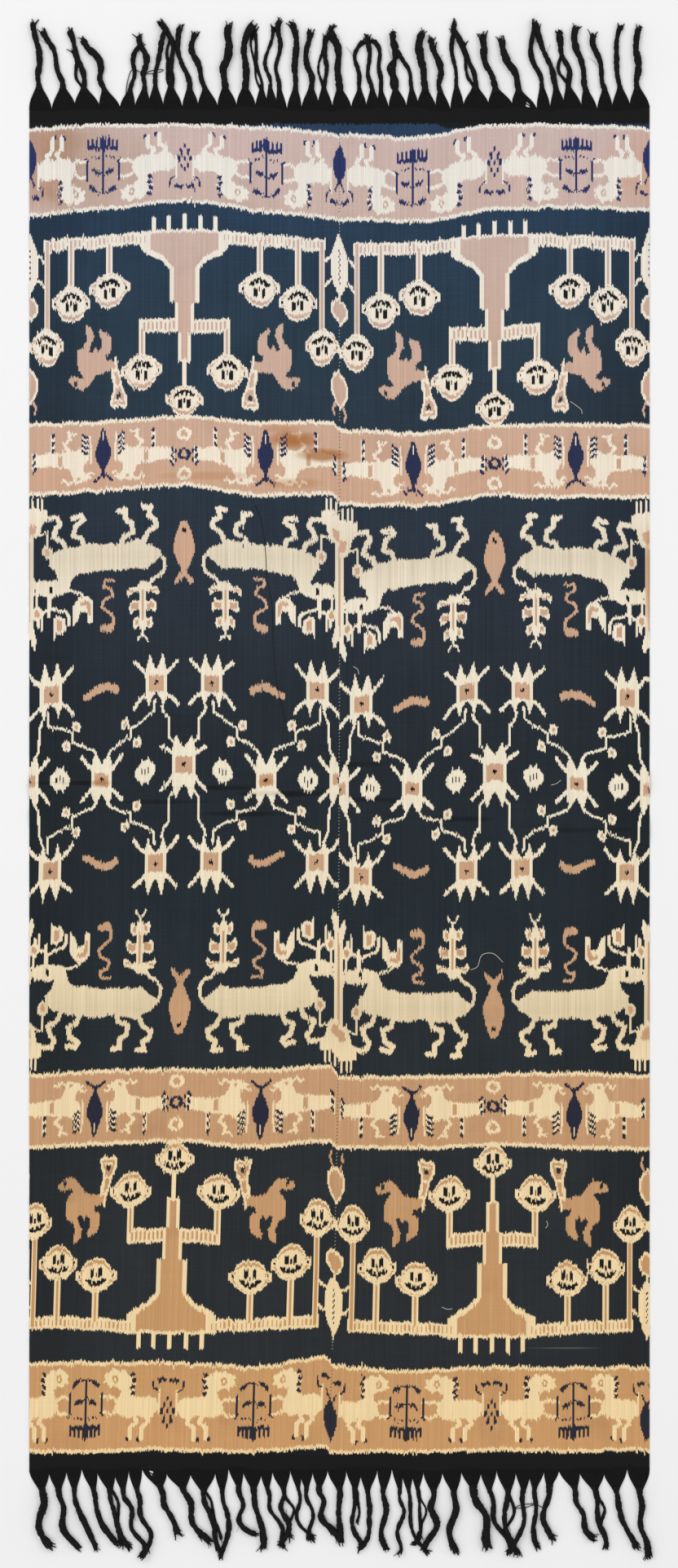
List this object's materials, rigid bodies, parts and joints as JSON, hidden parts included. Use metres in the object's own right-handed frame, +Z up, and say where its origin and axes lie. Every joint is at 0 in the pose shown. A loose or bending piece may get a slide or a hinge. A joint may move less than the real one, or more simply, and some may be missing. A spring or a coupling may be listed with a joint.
{
  "type": "ikat woven cloth",
  "caption": "Long woven mantle cloth lying flat: panels sewn edge to edge along the length, figured warp-dyed bands, and a fringe of twisted locks at each end.",
  "frame": {"origin": "middle of the bounding box in X and Y, on the ground plane that the cloth lies on", "axes": "+Z up out of the cloth's face, +Y along its length towards the top fringe, +X across it to the right panel"},
  "size_m": [1.15, 2.8556, 0.0072],
  "materials": {
    "panel_left": "matt warp-faced cotton",
    "panel_right": "matt warp-faced cotton",
    "fringe_top": "matt twisted cotton yarn",
    "fringe_bottom": "matt twisted cotton yarn"
  },
  "bodies": {
    "root": {"panel_left": "panel_left", "panel_right": "panel_right", "fringe_top": "fringe_top", "fringe_bottom": "fringe_bottom"}
  },
  "joints": []
}
